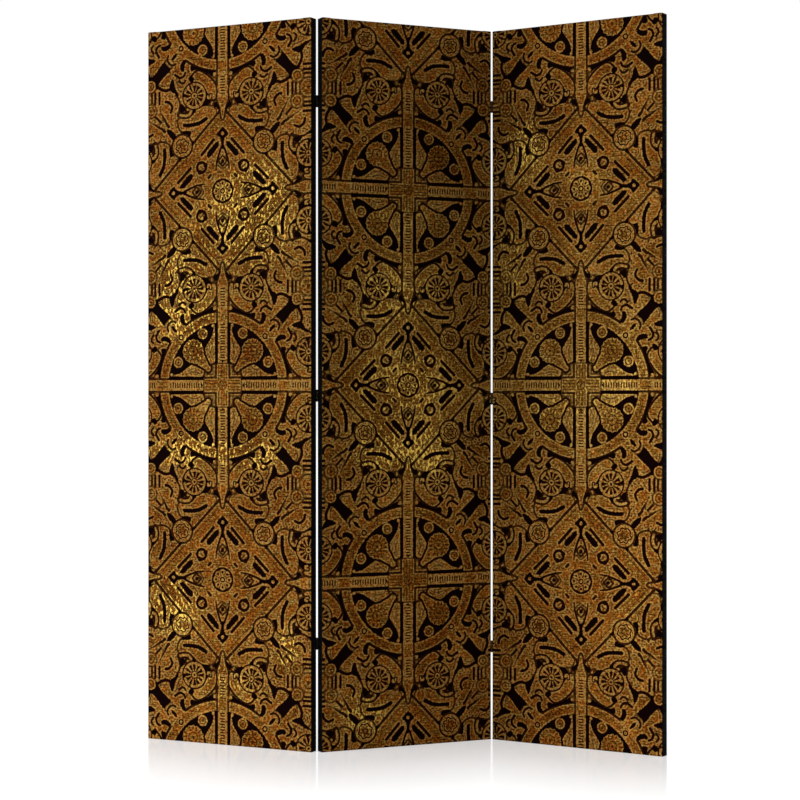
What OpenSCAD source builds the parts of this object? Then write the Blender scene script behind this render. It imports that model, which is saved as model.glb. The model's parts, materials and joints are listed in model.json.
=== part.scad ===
// Folding room divider: three canvas-covered panels joined by small steel butt hinges.
// A panel is a mitred frame of stretcher bars with two cross rails between its stiles. The printed
// canvas covers the front, wraps the four edges and turns over as a hem on the back, where a plain
// back cloth is laid over the hem and stapled down.
// The left fold has its hinge pins behind the panels and the right fold has them in front, so the
// panels fold up in a zigzag.
// X runs along the middle panel, Y runs to the back and Z is up. The origin is at the centre of the
// middle panel's foot. Lengths are in millimetres and angles in degrees.

/* [Panels] */
// Width of one panel
panel_w = 450; // [300:5:600]
// Height of the panels
panel_h = 1720; // [1200:10:2100]
// Thickness of a panel, with its canvas and back cloth
panel_t = 25; // [22:0.5:40]
// Gap between two panels that stand in one line
panel_gap = 2; // [1.8:0.1:4]

/* [Standing pose] */
// Angle by which the left panel is folded back from the middle panel's line
left_fold = 51.7; // [0:0.1:180]
// Angle by which the right panel is folded forward from the middle panel's line
right_fold = 58.2; // [0:0.1:180]

/* [Stretcher bars] */
// Width of the stiles, the top rail and the bottom rail
bar_w = 40; // [34:1:60]
// Width of the raised bead along a bar's outer edge, which alone bears on the canvas
bead_w = 7; // [4:0.5:10]
// Height of the bead above the rest of the bar's front
bead_h = 2.5; // [1:0.5:4]
// Width of the slope behind the bead
slope_w = 12; // [4:1:20]

/* [Cross rails] */
// Width of a cross rail
cross_w = 36; // [24:1:60]
// Chamfer along a cross rail's long edges
cross_chamfer = 2; // [0.5:0.5:4]
// Length of the tenon on each end of a cross rail
tenon_len = 12; // [6:1:16]
// Thickness of a tenon
tenon_t = 8; // [5:0.5:12]
// Shoulder above and below a tenon
tenon_shoulder = 6; // [3:0.5:10]

/* [Corner splines] */
// Length of a plywood spline along each edge of its corner
spline_leg = 34; // [20:1:50]
// Thickness of a spline
spline_t = 4; // [3:0.5:6]
// Clearance round tenons and splines
joint_clear = 0.1; // [0.05:0.05:0.3]

/* [Canvas and back cloth] */
// Thickness of the printed canvas
canvas_t = 0.5; // [0.3:0.1:0.8]
// Width of the canvas hem on the back
hem_w = 26; // [22:1:34]
// Thickness of the back cloth
cloth_t = 0.3; // [0.2:0.1:0.6]
// Distance from a panel's outline to the back cloth's edge
cloth_inset = 3; // [1:0.5:6]

/* [Staples] */
// Width of a staple's crown
crown_w = 10; // [8:0.5:13]
// Length of a staple's legs
leg_len = 8; // [6:0.5:10]
// Width of the flat staple wire
wire_w = 1.2; // [0.8:0.1:1.6]
// Thickness of the staple wire
wire_t = 0.6; // [0.4:0.1:0.8]
// Distance from a panel's outline to the row of staples
staple_in = 16; // [15:0.5:18]
// Distance from a panel's corner to the first staple along an edge
staple_end = 60; // [50:1:90]
// Largest distance between two staples
staple_pitch = 160; // [120:5:240]
// Clearance round a staple's legs
leg_clear = 0.05; // [0.02:0.01:0.1]

/* [Hinges] */
// Height of a hinge
leaf_h = 28; // [24:1:40]
// Reach of a leaf over the panel's edge
leaf_w = 14; // [12:0.5:18]
// Thickness of a leaf
leaf_t = 0.7; // [0.5:0.1:0.8]
// Radius of a leaf's far corners
leaf_corner = 2.5; // [1:0.5:4]
// Diameter of the hinge pin
pin_d = 1.6; // [1.2:0.1:2.4]
// Radius of the pin's domed heads beyond the pin's own radius
head_lip = 0.6; // [0.3:0.1:0.8]
// Height of a pin's head
head_h = 0.8; // [0.4:0.1:1.5]
// Radial clearance between the pin and its knuckles
pin_clear = 0.05; // [0.02:0.01:0.1]
// Clearance between a knuckle and what turns past it
knuckle_clear = 0.1; // [0.05:0.05:0.2]

/* [Hinge places] */
// Height of the left fold's lowest hinge above the floor
left_low_z = 252; // [150:1:400]
// Distance of the left fold's middle hinge below the panels' mid-height
left_mid_drop = 25; // [-60:1:60]
// Distance of the left fold's top hinge below the panels' top
left_top_drop = 193; // [120:1:350]
// Height of the right fold's lowest hinge above the floor
right_low_z = 226; // [150:1:400]
// Distance of the right fold's middle hinge below the panels' mid-height
right_mid_drop = 32; // [-60:1:60]
// Distance of the right fold's top hinge below the panels' top
right_top_drop = 183; // [120:1:350]

/* [Hinge screws] */
// Diameter of a screw's shank
screw_d = 2.4; // [2:0.1:2.8]
// Length of a screw, head included
screw_len = 12; // [8:0.5:13]
// Length of a screw's tapered point
screw_point = 3; // [2:0.5:4]
// Distance between the two screws of a leaf
screw_spread = 14; // [12:0.5:16]
// Length of each slot of the cross recess in a screw's head
recess_l = 2; // [1.5:0.1:2.4]
// Depth of the cross recess
recess_h = 0.4; // [0.2:0.1:0.5]
// Clearance round a screw in its leaf, the canvas and the wood
screw_clear = 0.05; // [0.02:0.01:0.1]

/* [Hidden] */
$fn = 48;

// How far a cutting shape runs past what it cuts
past = 1;
// A hinge has three knuckles on the leaf of the middle panel and two on the other leaf
knuckles = 5;
knuckle_h = leaf_h / knuckles;

// Planes of a panel, in the panel's own frame
outer_x = panel_w / 2 - canvas_t;
front_y = -panel_t / 2 + canvas_t;
back_y = panel_t / 2 - cloth_t - canvas_t;
field_y = front_y + bead_h;
inside_h = panel_h - 2 * canvas_t;

// The hinge pin stands proud of the panels' faces by a whole barrel
barrel_r = pin_d / 2 + pin_clear + leaf_t;
pin_off = barrel_r + knuckle_clear;
left_pin = [-(panel_w + panel_gap) / 2, panel_t / 2 + pin_off, 0];
right_pin = [(panel_w + panel_gap) / 2, -panel_t / 2 - pin_off, 0];
left_hinges = [panel_h - left_top_drop, panel_h / 2 - left_mid_drop, left_low_z];
right_hinges = [panel_h - right_top_drop, panel_h / 2 - right_mid_drop, right_low_z];

// Each hinged edge of a panel: its side (1 is right), its face (1 is the back) and hinge heights
left_edges = [[1, 1, left_hinges]];
middle_edges = [[-1, 1, left_hinges], [1, -1, right_hinges]];
right_edges = [[-1, -1, right_hinges]];

// The cross rails divide the height between the rails into three equal bays
bay_h = (inside_h - 2 * bar_w - 2 * cross_w) / 3;
lower_cross_z = canvas_t + bar_w + bay_h + cross_w / 2;
upper_cross_z = lower_cross_z + bay_h + cross_w;
cross_len = 2 * outer_x - 2 * bar_w;

// Places of the staples along an edge of this length, measured from its middle
function staple_places(edge) =
    let (span = edge - 2 * staple_end, gaps = ceil(span / staple_pitch))
    [for (i = [0:gaps]) -span / 2 + i * span / gaps];

// Moves the left panel from the middle panel's line to where it stands
module fold_left() {
    translate(left_pin) rotate(-left_fold) translate(-left_pin)
        translate([-panel_w - panel_gap, 0, 0]) children();
}

// Moves the right panel from the middle panel's line to where it stands
module fold_right() {
    translate(right_pin) rotate(-right_fold) translate(-right_pin)
        translate([panel_w + panel_gap, 0, 0]) children();
}

// Repeats a piece at each corner of the frame, with its own corner outermost
module at_corners() {
    for (right = [0, 1], top = [0, 1])
        translate([right ? outer_x : -outer_x, 0, top ? panel_h - canvas_t : canvas_t])
            mirror([right, 0, 0]) mirror([0, 0, top]) children();
}

// Repeats a piece at each staple, on the back of the panel
module at_staples() {
    for (side = [-1, 1], z = staple_places(panel_h))
        translate([side * (panel_w / 2 - staple_in), panel_t / 2, panel_h / 2 + z]) children();
    for (side = [-1, 1], x = staple_places(panel_w))
        translate([x, panel_t / 2, panel_h / 2 + side * (panel_h / 2 - staple_in)])
            rotate([0, 90, 0]) children();
}

// Repeats a piece at each hinge screw of a panel, with Z into the wood from the panel's edge
module at_screws(edges) {
    for (e = edges, z = e[2], dz = [-1, 1])
        translate([e[0] * panel_w / 2, e[1] * (panel_t - leaf_w) / 2, z + dz * screw_spread / 2])
            rotate([0, -90 * e[0], 0]) children();
}

// Outline of a stretcher bar, from its outer edge inwards: bead, slope and lower field
module bar_profile() {
    polygon([
        [0, front_y], [bead_w, front_y], [bead_w + slope_w, field_y],
        [bar_w, field_y], [bar_w, back_y], [0, back_y]
    ]);
}

// A stretcher bar along Z with mitred ends
module mitred_bar(length) {
    intersection() {
        linear_extrude(length) bar_profile();
        rotate([90, 0, 0]) linear_extrude(2 * panel_t, center = true)
            polygon([[0, 0], [bar_w, bar_w], [bar_w, length - bar_w], [0, length]]);
    }
}

// Triangular spline across a mitre, grown by a clearance where it cuts its slot
module spline(clear = 0) {
    leg = spline_leg + 2 * clear;
    translate([0, (front_y + back_y) / 2, 0]) rotate([90, 0, 0])
        linear_extrude(spline_t + 2 * clear, center = true) polygon([[0, 0], [leg, 0], [0, leg]]);
}

// The tenon or, with a clearance, the mortise at one end of a cross rail, along +X from the stile
module tenon(clear = 0) {
    translate([-past, (field_y + back_y - tenon_t) / 2 - clear, tenon_shoulder - cross_w / 2 - clear])
        cube([tenon_len + past + clear, tenon_t + 2 * clear, cross_w - 2 * tenon_shoulder + 2 * clear]);
}

// The two legs of a staple
module staple_legs(clear = 0) {
    for (side = [-1, 1])
        translate([0, -(leg_len + clear) / 2, side * (crown_w - wire_t) / 2])
            cube([wire_w + 2 * clear, leg_len + clear, wire_t + 2 * clear], center = true);
}

// Holes that the splines and staples need in every bar
module bar_holes() {
    at_corners() spline(joint_clear);
    at_staples() staple_legs(leg_clear);
}

// A screw's hole in the wood and the canvas
module pilot_holes(edges) {
    at_screws(edges) translate([0, 0, -past])
        cylinder(d = screw_d + 2 * screw_clear, h = screw_len - leaf_t + 2 * past);
}

module stile(side, edges) {
    color("burlywood") difference() {
        mirror([side > 0 ? 1 : 0, 0, 0]) difference() {
            translate([-outer_x, 0, canvas_t]) mitred_bar(inside_h);
            for (z = [lower_cross_z, upper_cross_z])
                translate([bar_w - outer_x, 0, z]) mirror([1, 0, 0]) tenon(joint_clear);
        }
        bar_holes();
        pilot_holes(edges);
    }
}

module bottom_rail() {
    color("burlywood") difference() {
        translate([outer_x, 0, canvas_t]) rotate([0, -90, 0]) mitred_bar(2 * outer_x);
        bar_holes();
    }
}

module top_rail() {
    color("burlywood") difference() {
        translate([-outer_x, 0, panel_h - canvas_t]) rotate([0, 90, 0]) mitred_bar(2 * outer_x);
        bar_holes();
    }
}

module cross_rail(z) {
    chamfer = cross_chamfer;
    color("burlywood") translate([0, 0, z]) {
        rotate([90, 0, 90]) linear_extrude(cross_len, center = true) polygon([
            [field_y, -cross_w / 2 + chamfer], [field_y + chamfer, -cross_w / 2],
            [back_y, -cross_w / 2], [back_y, cross_w / 2],
            [field_y + chamfer, cross_w / 2], [field_y, cross_w / 2 - chamfer]
        ]);
        for (right = [0, 1]) mirror([1 - right, 0, 0]) translate([cross_len / 2, 0, 0]) tenon();
    }
}

module corner_splines() {
    color("tan") at_corners() spline();
}

module canvas(edges) {
    color([0.42, 0.26, 0.06]) difference() {
        translate([-panel_w / 2, -panel_t / 2, 0]) cube([panel_w, panel_t - cloth_t, panel_h]);
        translate([-outer_x, front_y, canvas_t]) cube([2 * outer_x, back_y - front_y, inside_h]);
        translate([hem_w - panel_w / 2, 0, hem_w])
            cube([panel_w - 2 * hem_w, panel_t, panel_h - 2 * hem_w]);
        at_staples() staple_legs(leg_clear);
        pilot_holes(edges);
    }
}

module back_cloth() {
    color([0.05, 0.05, 0.05]) difference() {
        translate([cloth_inset - panel_w / 2, panel_t / 2 - cloth_t, cloth_inset])
            cube([panel_w - 2 * cloth_inset, cloth_t, panel_h - 2 * cloth_inset]);
        at_staples() staple_legs(leg_clear);
    }
}

// Each staple's crown lies on the back cloth
module staples() {
    color("silver") at_staples() union() {
        translate([0, wire_t / 2, 0]) cube([wire_w, wire_t, crown_w], center = true);
        staple_legs();
    }
}

// Countersunk wood screws, heads flush with the leaves
module hinge_screws(edges) {
    head_r = screw_d / 2 + leaf_t;
    color([0.12, 0.12, 0.12]) at_screws(edges) translate([0, 0, -leaf_t]) difference() {
        rotate_extrude() polygon([
            [0, 0], [head_r, 0], [screw_d / 2, leaf_t], [screw_d / 2, screw_len - screw_point],
            [0, screw_len]
        ]);
        for (turn = [0, 90])
            rotate(turn) cube([recess_l, recess_l / 4, 2 * recess_h], center = true);
    }
}

// Moves a hinge piece from the pin's own frame to its place on the left or the right fold
module at_left_fold(z) { translate(left_pin + [0, 0, z]) children(); }
module at_right_fold(z) { translate(right_pin + [0, 0, z]) rotate(180) children(); }

// A hinge's plate on the panel's edge: the panel is on +X, the pin is the Z axis, Y runs off the face
module leaf_plate() {
    reach = pin_off + leaf_w;
    translate([panel_gap / 2 - leaf_t, 0, 0]) rotate([90, 0, 90]) linear_extrude(leaf_t) union() {
        translate([leaf_corner - reach, -leaf_h / 2]) square([reach - leaf_corner, leaf_h]);
        translate([-reach, leaf_corner - leaf_h / 2]) square([reach, leaf_h - 2 * leaf_corner]);
        for (side = [-1, 1])
            translate([leaf_corner - reach, side * (leaf_h / 2 - leaf_corner)])
                circle(leaf_corner);
    }
}

// One leaf of a hinge, with its knuckles from the first one up, every second one
module leaf(first) {
    reach = pin_off + leaf_w / 2;
    color([0.08, 0.07, 0.06]) difference() {
        union() {
            leaf_plate();
            for (k = [first:2:knuckles - 1])
                translate([0, 0, k * knuckle_h - leaf_h / 2]) cylinder(r = barrel_r, h = knuckle_h);
        }
        for (k = [1 - first:2:knuckles - 1])
            translate([0, 0, k * knuckle_h - leaf_h / 2 - knuckle_clear / 2])
                cylinder(r = barrel_r + knuckle_clear, h = knuckle_h + knuckle_clear);
        cylinder(d = pin_d + 2 * pin_clear, h = leaf_h + 2 * past, center = true);
        for (side = [-1, 1])
            translate([panel_gap / 2 - leaf_t, -reach, side * screw_spread / 2])
                rotate([0, 90, 0]) countersink();
    }
}

// A countersunk hole through a leaf, from its outer face at Z zero
module countersink() {
    shank_r = screw_d / 2 + screw_clear;
    rotate_extrude() polygon([
        [0, -past], [shank_r + leaf_t, -past], [shank_r + leaf_t, 0], [shank_r, leaf_t],
        [shank_r, leaf_t + past], [0, leaf_t + past]
    ]);
}

// The leaf on the middle panel, and the leaf on the panel that swings
module inner_leaf() { leaf(0); }
module outer_leaf(fold) { rotate(-fold) mirror([1, 0, 0]) leaf(1); }

// The pin, riveted over at both ends into low domes
module hinge_pin() {
    head_r = pin_d / 2 + head_lip;
    dome_r = (head_r * head_r + head_h * head_h) / (2 * head_h);
    color([0.08, 0.07, 0.06]) union() {
        cylinder(d = pin_d, h = leaf_h, center = true);
        for (end = [0, 1]) mirror([0, 0, end]) translate([0, 0, leaf_h / 2]) intersection() {
            translate([0, 0, head_h - dome_r]) sphere(dome_r);
            cylinder(r = head_r, h = head_h);
        }
    }
}

fold_left() canvas(left_edges);  // left_panel_canvas
fold_left() back_cloth();  // left_panel_back_cloth
fold_left() stile(-1, []);  // left_panel_left_stile
fold_left() stile(1, left_edges);  // left_panel_right_stile
fold_left() top_rail();  // left_panel_top_rail
fold_left() bottom_rail();  // left_panel_bottom_rail
fold_left() cross_rail(upper_cross_z);  // left_panel_upper_cross_rail
fold_left() cross_rail(lower_cross_z);  // left_panel_lower_cross_rail
fold_left() corner_splines();  // left_panel_corner_splines
fold_left() staples();  // left_panel_staples
fold_left() hinge_screws(left_edges);  // left_panel_hinge_screws

canvas(middle_edges);  // middle_panel_canvas
back_cloth();  // middle_panel_back_cloth
stile(-1, [middle_edges[0]]);  // middle_panel_left_stile
stile(1, [middle_edges[1]]);  // middle_panel_right_stile
top_rail();  // middle_panel_top_rail
bottom_rail();  // middle_panel_bottom_rail
cross_rail(upper_cross_z);  // middle_panel_upper_cross_rail
cross_rail(lower_cross_z);  // middle_panel_lower_cross_rail
corner_splines();  // middle_panel_corner_splines
staples();  // middle_panel_staples
hinge_screws(middle_edges);  // middle_panel_hinge_screws

fold_right() canvas(right_edges);  // right_panel_canvas
fold_right() back_cloth();  // right_panel_back_cloth
fold_right() stile(-1, right_edges);  // right_panel_left_stile
fold_right() stile(1, []);  // right_panel_right_stile
fold_right() top_rail();  // right_panel_top_rail
fold_right() bottom_rail();  // right_panel_bottom_rail
fold_right() cross_rail(upper_cross_z);  // right_panel_upper_cross_rail
fold_right() cross_rail(lower_cross_z);  // right_panel_lower_cross_rail
fold_right() corner_splines();  // right_panel_corner_splines
fold_right() staples();  // right_panel_staples
fold_right() hinge_screws(right_edges);  // right_panel_hinge_screws

at_left_fold(left_hinges[0]) inner_leaf();  // left_fold_top_inner_leaf
at_left_fold(left_hinges[0]) outer_leaf(left_fold);  // left_fold_top_outer_leaf
at_left_fold(left_hinges[0]) hinge_pin();  // left_fold_top_pin
at_left_fold(left_hinges[1]) inner_leaf();  // left_fold_middle_inner_leaf
at_left_fold(left_hinges[1]) outer_leaf(left_fold);  // left_fold_middle_outer_leaf
at_left_fold(left_hinges[1]) hinge_pin();  // left_fold_middle_pin
at_left_fold(left_hinges[2]) inner_leaf();  // left_fold_low_inner_leaf
at_left_fold(left_hinges[2]) outer_leaf(left_fold);  // left_fold_low_outer_leaf
at_left_fold(left_hinges[2]) hinge_pin();  // left_fold_low_pin

at_right_fold(right_hinges[0]) inner_leaf();  // right_fold_top_inner_leaf
at_right_fold(right_hinges[0]) outer_leaf(right_fold);  // right_fold_top_outer_leaf
at_right_fold(right_hinges[0]) hinge_pin();  // right_fold_top_pin
at_right_fold(right_hinges[1]) inner_leaf();  // right_fold_middle_inner_leaf
at_right_fold(right_hinges[1]) outer_leaf(right_fold);  // right_fold_middle_outer_leaf
at_right_fold(right_hinges[1]) hinge_pin();  // right_fold_middle_pin
at_right_fold(right_hinges[2]) inner_leaf();  // right_fold_low_inner_leaf
at_right_fold(right_hinges[2]) outer_leaf(right_fold);  // right_fold_low_outer_leaf
at_right_fold(right_hinges[2]) hinge_pin();  // right_fold_low_pin
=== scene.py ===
import json
import math

import bpy
import numpy as np
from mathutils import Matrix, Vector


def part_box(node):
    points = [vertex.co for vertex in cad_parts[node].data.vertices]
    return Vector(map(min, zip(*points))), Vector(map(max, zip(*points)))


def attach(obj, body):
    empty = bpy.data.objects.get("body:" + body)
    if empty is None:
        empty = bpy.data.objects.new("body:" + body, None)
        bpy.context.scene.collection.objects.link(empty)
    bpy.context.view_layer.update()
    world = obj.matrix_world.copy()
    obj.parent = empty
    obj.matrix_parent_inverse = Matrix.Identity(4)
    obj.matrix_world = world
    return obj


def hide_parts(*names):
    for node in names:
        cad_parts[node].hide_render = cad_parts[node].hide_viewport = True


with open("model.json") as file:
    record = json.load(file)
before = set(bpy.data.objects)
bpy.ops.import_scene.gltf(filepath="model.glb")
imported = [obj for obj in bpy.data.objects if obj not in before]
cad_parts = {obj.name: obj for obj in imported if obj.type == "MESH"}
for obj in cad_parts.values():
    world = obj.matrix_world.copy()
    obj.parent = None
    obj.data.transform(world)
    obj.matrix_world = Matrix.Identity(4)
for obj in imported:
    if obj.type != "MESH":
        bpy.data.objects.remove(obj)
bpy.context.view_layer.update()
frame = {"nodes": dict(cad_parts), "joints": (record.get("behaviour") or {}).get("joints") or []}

# The stretcher frames: for each panel two stiles, a top and a bottom rail and two cross rails, all
# planed and moulded from knotless pine. A panel's own place comes first, since all its pieces are
# worked out flat, with the front towards -Y, and then stand where the panel's fold leaves them.
PANELS = ("left", "middle", "right")
folds = {joint["child"].split("_")[0]: joint for joint in frame["joints"]}


def turn_of(panel):
    """Angle in radians by which a panel is turned about Z from the middle panel's line. A fold's
    range ends where the panels lie in one line, so the turn is the end of the range, backwards."""
    return -math.radians(folds[panel]["range_deg"][1]) if panel in folds else 0.0


def stand(points, panel):
    """Moves points from a panel's own frame to where it stands: a shift along X by twice the pin's
    distance, which brings the panel beside the middle one, and then a turn about the pin."""
    if panel not in folds:
        return points
    pin_x, pin_y = folds[panel]["pos_m"][:2]
    c, s = math.cos(turn_of(panel)), math.sin(turn_of(panel))
    x, y = points[:, 0] + pin_x, points[:, 1] - pin_y
    return np.c_[pin_x + c * x - s * y, pin_y + s * x + c * y, points[:, 2]]


class Value:
    """A number worked out by nodes at each point of a surface. It is reckoned with as a number is:
    each operation adds a Math node and gives its result."""

    def __init__(self, tree, socket):
        self.tree, self.socket = tree, socket

    def math(self, operation, *others):
        made = self.tree.nodes.new("ShaderNodeMath")
        made.operation = operation
        for socket, value in zip(made.inputs, (self, *others)):
            feed(self.tree, socket, value)
        return Value(self.tree, made.outputs[0])

    def __add__(self, other): return self.math("ADD", other)
    def __sub__(self, other): return self.math("SUBTRACT", other)
    def __mul__(self, other): return self.math("MULTIPLY", other)
    def __truediv__(self, other): return self.math("DIVIDE", other)
    def __neg__(self): return self.math("MULTIPLY", -1.0)
    def __abs__(self): return self.math("ABSOLUTE")
    def least(self, other): return self.math("MINIMUM", other)
    def most(self, other): return self.math("MAXIMUM", other)
    def sine(self): return self.math("SINE")

    def ease(self, low, high, to_low=0.0, to_high=1.0):
        """Runs smoothly from one number to another as this value goes from low to high."""
        made = add_node(self.tree, "ShaderNodeMapRange", {"Value": self, "From Min": low, "From Max": high,
                        "To Min": to_low, "To Max": to_high}, interpolation_type="SMOOTHSTEP")
        return Value(self.tree, made.outputs["Result"])


def feed(tree, socket, value):
    """Fills a node's input: a number or colour is set on it, a Value or another socket is linked."""
    if isinstance(value, Value):
        value = value.socket
    if isinstance(value, bpy.types.NodeSocket):
        tree.links.new(value, socket)
    else:
        socket.default_value = value


def add_node(tree, kind, inputs=(), **settings):
    """Adds a node with these settings, and fills its inputs by name or number."""
    made = tree.nodes.new(kind)
    for key, value in settings.items():
        setattr(made, key, value)
    for key, value in dict(inputs).items():
        feed(tree, made.inputs[key], value)
    return made


def axes_of(tree, place):
    """The three coordinates of a place."""
    return [Value(tree, end) for end in add_node(tree, "ShaderNodeSeparateXYZ", {0: place}).outputs]


def attribute_of(tree, name):
    """The number that a mesh keeps for each of its points under this name."""
    return Value(tree, add_node(tree, "ShaderNodeAttribute", attribute_name=name).outputs["Fac"])


def new_material(name):
    """A material whose node tree is empty."""
    made = bpy.data.materials.new(name)
    made.use_nodes = True
    made.node_tree.nodes.clear()
    return made, made.node_tree


def mix_colours(tree, share, first, second):
    """A colour between two, by a share from 0 to 1."""
    return add_node(tree, "ShaderNodeMix", {0: share, 6: first, 7: second}, data_type="RGBA").outputs[2]


def times(tree, colour, other):
    """A colour times another colour or a level."""
    return add_node(tree, "ShaderNodeVectorMath", {0: colour, 1: other}, operation="MULTIPLY").outputs[0]


def colour_ramp(tree, value, stops):
    """A colour read off a scale of rising (place, colour) stops."""
    made = add_node(tree, "ShaderNodeValToRGB", {"Fac": value})
    for place, _ in stops[1:-1]:
        made.color_ramp.elements.new(place)
    for element, (place, colour) in zip(made.color_ramp.elements, stops):
        element.position, element.color = place, (*colour, 1.0)
    return made.outputs[0]


def noise_at(tree, place, scale, detail=2.0, roughness=0.5, flat=False):
    """Noise of about this many lumps to the metre."""
    made = add_node(tree, "ShaderNodeTexNoise", {"Vector": place, "Scale": scale, "Detail": detail,
                    "Roughness": roughness}, noise_dimensions="2D" if flat else "3D")
    return Value(tree, made.outputs["Fac"])


def stretch(tree, place, scale, turn=0.0):
    """A pattern's place, scaled along the three axes and then turned about Z."""
    return add_node(tree, "ShaderNodeMapping", {"Vector": place, "Scale": scale,
                    "Rotation": (0.0, 0.0, turn)}).outputs[0]


def finish_with(tree, colour, roughness, height, depth, strength=1.0, **others):
    """The shader of a surface, with its height in parts of a depth in metres, and its output."""
    bump = add_node(tree, "ShaderNodeBump", {"Height": height, "Strength": strength, "Distance": depth})
    shader = add_node(tree, "ShaderNodeBsdfPrincipled", {"Base Color": colour, "Roughness": roughness,
                      "Normal": bump.outputs[0]})
    for name, value in others.items():
        feed(tree, shader.inputs[name.replace("_", " ")], value)
    add_node(tree, "ShaderNodeOutputMaterial", {"Surface": shader.outputs[0]})


def dress(node, made):
    """Gives every slot of a CAD node this material."""
    for slot in frame["nodes"][node].material_slots:
        slot.material = made


RINGS_PER_M = 380.0
HEART_DEPTH = 0.06


def pine(name, panel, upright):
    """Planed pine. Growth rings are even steps of the distance from the tree's heart, which lies
    outside the bar; the distance is warped along the grain by slow noise, and late wood is darker.
    Fine streaks run with the grain, and handling dulls the wood in clouds."""
    made, tree = new_material(name)
    place = stretch(tree, add_node(tree, "ShaderNodeTexCoord").outputs["Object"], (1, 1, 1), -turn_of(panel))
    axes = axes_of(tree, place)
    across = axes[0 if upright else 2]
    fine, slow = ((150, 150, 6), (9, 9, 1.1)) if upright else ((6, 150, 150), (1.1, 9, 9))
    streak = noise_at(tree, stretch(tree, place, fine), 4.0, 4.0, 0.6)
    drift = noise_at(tree, stretch(tree, place, slow), 1.0, 2.0)
    from_heart = (across * across + (axes[1] + HEART_DEPTH).math("POWER", 2.0)).math("SQRT")
    rings = (from_heart * RINGS_PER_M + drift * 14.0).math("FRACT")
    late = rings.ease(0.45, 0.95) * rings.ease(1.0, 0.96)
    colour = colour_ramp(tree, late * 0.55 + streak * 0.45, [
        (0.12, (0.64, 0.44, 0.24)), (0.4, (0.52, 0.33, 0.16)), (0.8, (0.30, 0.15, 0.055))])
    handled = noise_at(tree, place, 7.0, 4.0).ease(0.55, 0.75, 0.0, 0.35)
    worn = mix_colours(tree, handled, colour, (0.42, 0.27, 0.14, 1))
    finish_with(tree, worn, streak.ease(0.3, 0.7, 0.5, 0.68), streak * 0.6 + late * 0.4, 0.0003,
                Specular_IOR_Level=0.3)
    return made


BARS = {"left_stile": True, "right_stile": True, "top_rail": False, "bottom_rail": False,
        "upper_cross_rail": False, "lower_cross_rail": False}
for panel in PANELS:
    woods = {upright: pine(f"{panel} pine {'stiles' if upright else 'rails'}", panel, upright)
             for upright in (True, False)}
    for bar, upright in BARS.items():
        dress(f"{panel}_panel_{bar}", woods[upright])


# The corner splines: thin birch plywood triangles, glued into slots that are sawn across the mitres.
# Their faces show the veneer's grain.
def birch_ply():
    """Birch plywood: pale veneer, whose slow flames and fine pores are noise drawn out upwards."""
    made, tree = new_material("birch plywood")
    place = add_node(tree, "ShaderNodeTexCoord").outputs["Object"]
    flame = noise_at(tree, stretch(tree, place, (40, 40, 9)), 2.0, 4.0, 0.62)
    pores = noise_at(tree, stretch(tree, place, (900, 900, 90)), 1.0, 2.0)
    veneer = colour_ramp(tree, flame * 0.7 + pores * 0.3, [
        (0.25, (0.44, 0.29, 0.16)), (0.5, (0.60, 0.43, 0.26)), (0.8, (0.70, 0.53, 0.34))])
    finish_with(tree, veneer, flame.ease(0.3, 0.7, 0.55, 0.7), flame * 0.5 + pores * 0.5, 0.0002,
                Specular_IOR_Level=0.25)
    return made


ply = birch_ply()
for panel in PANELS:
    dress(panel + "_panel_corner_splines", ply)


# The canvases' gilt print: a lattice of rings and lozenges with scrolls and small wheels between. Like
# a printing block it is cut once, for the triangle that all the rest mirrors: a is the way from a
# ring's centre towards a lozenge's, and b the distance off that line, both in millimetres.
REPEAT = 465.0  # from a ring's centre to a lozenge's, which is half of the print's repeat
LOW_RING = 395.0  # height of the lowest ring's centre
RING_IN, RING_OUT = 151.0, 176.5
LOZENGE = 196.0  # how far a lozenge reaches from its centre
# Middles of the round motifs, and the bosses' radii: the block has their ground, and the canvas's
# material draws their finest lines.
WHEEL, ROSETTE, FRUIT, EYELET = (232.5, 78.5), (352.5, 113.0), (82.0, 82.0), (116.0, 116.0)
BOSSES = ((263, 202, 15), (202, 203, 15), (232.5, 232.5, 21))


def smooth_line(points, closed=False, steps=6):
    """Points along a smooth curve through the given ones: a Catmull-Rom spline, where each span is a
    cubic whose slope at a point is half the step between that point's neighbours."""
    p = np.array(points, float)
    before, after = (p[-1:], p[:2]) if closed else (2 * p[:1] - p[1:2], 2 * p[-1:] - p[-2:-1])
    q = np.vstack([before, p, after])
    t = np.linspace(0, 1, steps, endpoint=False)[None, :, None]
    p0, p1, p2, p3 = q[:-3, None], q[1:-2, None], q[2:-1, None], q[3:, None]
    curve = (p1 + (p2 - p0) * t / 2 + (2 * p0 - 5 * p1 + 4 * p2 - p3) * t**2 / 2
             + (3 * p1 - p0 - 3 * p2 + p3) * t**3 / 2).reshape(-1, 2)
    return np.vstack([curve, p[:1] if closed else p[-1:]])


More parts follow.
